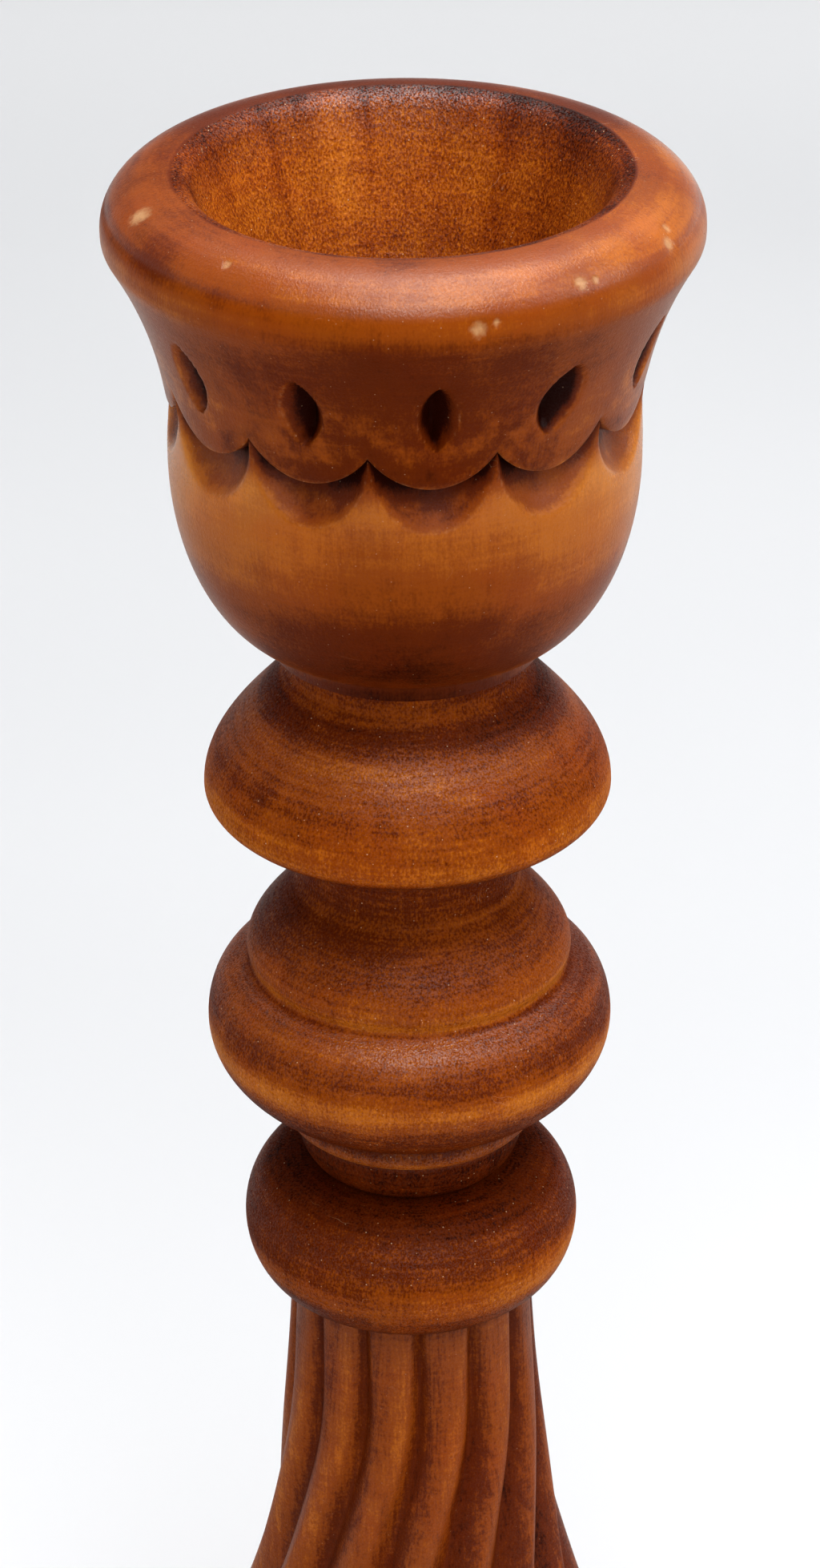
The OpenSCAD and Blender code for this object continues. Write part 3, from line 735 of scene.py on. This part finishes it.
def column_body(material):
    """The column: it flares downwards, and its flutes start upright and then sweep round it."""
    columns = np.arange(FLUTES * ACROSS)[None, :]
    s = np.linspace(0, COLUMN_H, COLUMN_ROWS)[:, None]
    u = columns % ACROSS / ACROSS
    steady = TWIST_RATE * (s - (TWIST_START + TWIST_FULL) / 2)
    easing = TWIST_RATE * (s - TWIST_START) ** 2 / (2 * (TWIST_FULL - TWIST_START))
    twist = np.where(s < TWIST_START, 0, np.where(s < TWIST_FULL, easing, steady))
    turn = np.radians(FLUTE_TURN + columns * 360 / (FLUTES * ACROSS) - twist)
    grown = np.clip(s / GROOVE_GROWN, 0, 1)
    width = GROOVE_W_TOP + (GROOVE_W_FOOT - GROOVE_W_TOP) * grown
    off = np.minimum(u, 1 - u)
    fade = np.clip((COLUMN_H - s - PLAIN_RIM) / PLAIN_RIM, 0, 1)
    deep = (GROOVE_TOP + (GROOVE_FOOT - GROOVE_TOP) * grown) * fade
    valley = np.exp(-(off / width) ** 2)
    flare = FLARE * (np.exp(s / FLARE_LENGTH) - 1)
    r = COLUMN_R + flare - deep * (valley + RIDGE_DIP * (1 - 2 * off) ** 2)
    shell = np.stack([r * np.cos(turn), r * np.sin(turn), np.repeat(STEM_FOOT - s, FLUTES * ACROSS, 1)], 2)

    screw_end, hole_end = TENON_FOOT + SCREW_REACH, STEM_FOOT - STEM_HOLE
    low = rings_of([(0.4, screw_end), (SCREW_R, screw_end), (SCREW_R, TENON_FOOT), (TENON_R, TENON_FOOT),
                    (TENON_R, FOOT_TOP)], turn[-1])
    high = rings_of([(BORE_R, STEM_FOOT), (BORE_R, hole_end), (0.4, hole_end)], turn[0])
    rings = np.concatenate([low, shell[::-1], high])
    groove = valley * np.clip(deep, 0, 1)
    tone, wax = by_depth(COLUMN_TONES, -s)
    # Painted light and shade: each flute is darker on its left half and lighter on its right, and the column
    # darker towards the right lower down. The grooves are darker too, partly stain and partly painted shade.
    tone = tone + 0.27 * groove + 0.09 * np.sin(2 * math.pi * u) * grown ** 0.3 + 0.08 * grown * np.cos(turn)
    wax = wax * (1 - 0.7 * groove)
    tone, wax = [np.concatenate([np.full(low.shape[:2], BARE_TONE), part[::-1],
                                 np.full(high.shape[:2], BARE_TONE)]) for part in (tone, wax)]
    piece = make_mesh("column", screw_end, rings, hole_end, [material], tone=tone, wax=wax)
    finish_piece(piece, "fluted_column")


# ---- Foot and felt ----

UNDERSIDE_TONE = 0.4
SCREW_HOLE_R, RECESS_R, RECESS_H = 2.55, 8.5, 4.4
TENON_SOCKET_R, TENON_SOCKET_H = 12.1, 8.3
FELT_HOLE_R, FELT_NAP, FELT_FUZZ = 10.5, 0.45, 0.06


def foot_outside():
    """The foot's outer side, upwards from its underside."""
    base, top = FELT_TOP, FOOT_TOP
    side = arc(FOOT_R - 0.8, base + 0.8, 0.8, 0.8, -90, 0, 8)
    side += arc(FOOT_R - 0.8, base + 3.7, 0.8, 0.8, 0, 90, 8)
    side += [(FOOT_R - 1.6, base + 4.5), (FOOT_R - 1.6, base + 5.3)]
    side += knop_side(FOOT_R - 4.6, FOOT_R - 0.6, base + 5.3, base + 8.6, 0.4)
    side += knop_side(FOOT_R - 5.2, FOOT_R - 0.6, top - 3.2, base + 8.6, 0.7)[::-1]
    side += [(FOOT_R - 5.2, top - 0.8)]
    side += arc(FOOT_R - 6, top - 0.8, 0.8, 0.8, 0, 90, 8)
    return side


# Down the foot from its top: depth, stain, wax.
FOOT_TONES = (
    (0, 0.42, 0.30), (2, 0.40, 0.30), (3.2, 0.72, 0.15), (5, 0.40, 0.30), (8.4, 0.32, 0.30),
    (10.5, 0.50, 0.30), (11.8, 0.80, 0.15), (12.6, 0.50, 0.30), (15, 0.36, 0.30), (17, 0.60, 0.15),
)


def foot_body(material):
    """The moulded foot, with the socket for the column's tenon and the recess for the screw."""
    socket_floor = FOOT_TOP - TENON_SOCKET_H
    roof = FELT_TOP + RECESS_H
    low = rows_of([(SCREW_HOLE_R, socket_floor), (SCREW_HOLE_R, roof), (RECESS_R, roof), (RECESS_R, FELT_TOP),
                   (FOOT_R - 2, FELT_TOP)], 2.5)
    high = rows_of([(FOOT_R - 7, FOOT_TOP), (TENON_SOCKET_R, FOOT_TOP), (TENON_SOCKET_R, socket_floor),
                    (3.0, socket_floor)], 2.0)
    profile = np.concatenate([low, soften(foot_outside()), high])
    rings = rings_of(profile, even_turns(TURNED_COLUMNS))
    tone, wax = by_depth(FOOT_TONES, rings[:, :, 2] - FOOT_TOP)
    tone[:len(low)] = UNDERSIDE_TONE
    piece = make_mesh("foot", None, rings, None, [material], tone=tone, wax=wax)
    finish_piece(piece, "turned_foot")


def felt_body(material):
    """The felt ring under the foot, with soft edges and an uneven nap."""
    inner, top, base, nap = FELT_HOLE_R, FELT_TOP, FLOOR, FELT_NAP
    profile = arc(FELT_R - nap, base + nap, nap, nap, -90, 0, 5)
    profile += arc(FELT_R - nap, top - nap, nap, nap, 0, 90, 5)
    profile += [tuple(p) for p in rows_of([(FELT_R - nap, top), (inner + nap, top)], 2.0)[1:]]
    profile += arc(inner + nap, top - nap, nap, nap, 90, 180, 5)[1:]
    profile += arc(inner + nap, base + nap, nap, nap, 180, 270, 5)
    profile += [tuple(p) for p in rows_of([(inner + nap, base), (FELT_R - nap, base)], 2.0)[1:-1]]
    rings = rings_of(profile, even_turns(FELT_COLUMNS))
    draw = np.random.default_rng(7)
    fuzz = draw.uniform(0, FELT_FUZZ, rings.shape[:2])
    scale = 1 - fuzz / np.maximum(np.hypot(rings[:, :, 0], rings[:, :, 1]), 1)
    rings[:, :, :2] *= scale[:, :, None]
    piece = make_mesh("felt", None, rings, None, [material])
    finish_piece(piece, "felt_pad")


# ---- Studio ----

# Area lights: name, place, aim, size, power.
LIGHTS = (
    ("overhead", (0.08, -0.15, 0.95), (0.08, -0.15, 0.0), (0.60, 1.30), 12.0),
    ("front", (0.15, -1.25, 0.62), (0, 0, 0.12), (0.70, 0.45), 2.2),
    ("right_side", (0.70, -0.10, 0.80), (0, 0, 0.15), (0.50, 0.50), 1.8),
    ("backdrop", (0.0, 0.55, 0.70), (0.0, 0.50, 0.0), (1.20, 0.50), 1.1),
)


def make_studio():
    """A plain pale floor under a broad soft light, with brighter surroundings behind and at the sides.

    The floor's colour is paler far from the band that the camera sees in the upper part of the picture:
    painted light, which lifts the candlestick's shadow near its foot and brightens the floor far behind it.
    """
    material, tree, shader, mm = start_material("floor")
    cloud = noise(tree, mm, 0.004, 2.0)
    colour = blend(tree, between(tree, cloud, 0.3, 0.7), (0.69, 0.70, 0.72, 1), (0.72, 0.73, 0.75, 1))
    backwards = add(tree, "ShaderNodeSeparateXYZ", {0: mm}).outputs[1]
    # Painted light: the floor is paler near the candlestick's foot, where its shadow falls, and far behind
    # it.
    far = between(tree, maths(tree, "ABSOLUTE", maths(tree, "SUBTRACT", backwards, 330)), 130, 275)
    colour = blend(tree, far, colour, (0.80, 0.81, 0.83, 1))
    tree.links.new(colour, shader.inputs["Base Color"])
    shader.inputs["Roughness"].default_value = 0.9
    shader.inputs["Specular IOR Level"].default_value = 0.1
    half = 4.0
    mesh = bpy.data.meshes.new("floor")
    ground = RIM + FLOOR * MM
    corners = [(-half, -half, ground), (half, -half, ground), (half, half, ground), (-half, half, ground)]
    mesh.from_pydata(corners, [], [(0, 1, 2, 3)])
    mesh.materials.append(material)
    floor = bpy.data.objects.new("floor", mesh)
    bpy.context.scene.collection.objects.link(floor)
    floor.visible_glossy = False

    world = bpy.data.worlds.new("studio")
    world.use_nodes = True
    bpy.context.scene.world = world
    tree = world.node_tree
    way = add(tree, "ShaderNodeTexCoord").outputs["Generated"]
    parts = add(tree, "ShaderNodeSeparateXYZ", {0: way})
    behind = between(tree, parts.outputs[1], 0.3, 0.9, 0.0, 0.60)
    behind = maths(tree, "MULTIPLY", behind, between(tree, parts.outputs[2], -0.15, 0.15, 1.0, 0.1))
    aside = maths(tree, "ABSOLUTE", maths(tree, "ADD", parts.outputs[0], 0.08))
    beside = between(tree, aside, 0.35, 0.95, 0.0, 0.35)
    glow = maths(tree, "ADD", maths(tree, "ADD", behind, beside), 0.11)
    background = tree.nodes["Background"]
    background.inputs["Color"].default_value = (1.0, 0.985, 0.97, 1)
    tree.links.new(glow, background.inputs["Strength"])

    for name, place, aim, size, power in LIGHTS:
        data = bpy.data.lights.new(name, "AREA")
        data.shape = "RECTANGLE"
        data.size, data.size_y = size
        data.energy = power
        lamp = bpy.data.objects.new(name, data)
        lamp.location = place
        lamp.rotation_euler = (Vector(place) - Vector(aim)).to_track_quat("Z", "Y").to_euler()
        bpy.context.scene.collection.objects.link(lamp)
    bpy.context.scene.view_settings.view_transform = "Standard"
    bpy.context.scene.view_settings.look = "None"


make_camera()
cup_body(wood("cup_wood", grain=0.4, speckle=0.20, specks=0.3, rings=0.4, sheen=0.2),
         wood("cup_inner_wood", grain=0.7, speckle=1.20, specks=1.0, roughness=0.42, sheen=0.9))
stem_body(wood("stem_wood", grain=0.7, speckle=0.60, specks=0.8, roughness=0.34, rings=1.1, sheen=0.9))
column_body(wood("column_wood", grain=1.0, speckle=0.35, specks=0.2))
foot_body(wood("foot_wood", grain=0.7, speckle=0.50, specks=0.3))
felt_body(felt("felt"))
for node_name, material in (("cup_dowel", bare_wood("dowel_wood")), ("stem_dowel", bare_wood("dowel_wood")),
                            ("foot_screw", steel("screw_steel", (0.70, 0.68, 0.64, 1), 0.28)),
                            ("screw_washer", steel("washer_steel", (0.74, 0.73, 0.70, 1), 0.34))):
    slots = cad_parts[node_name].data.materials
    slots.clear()
    slots.append(material)
make_studio()
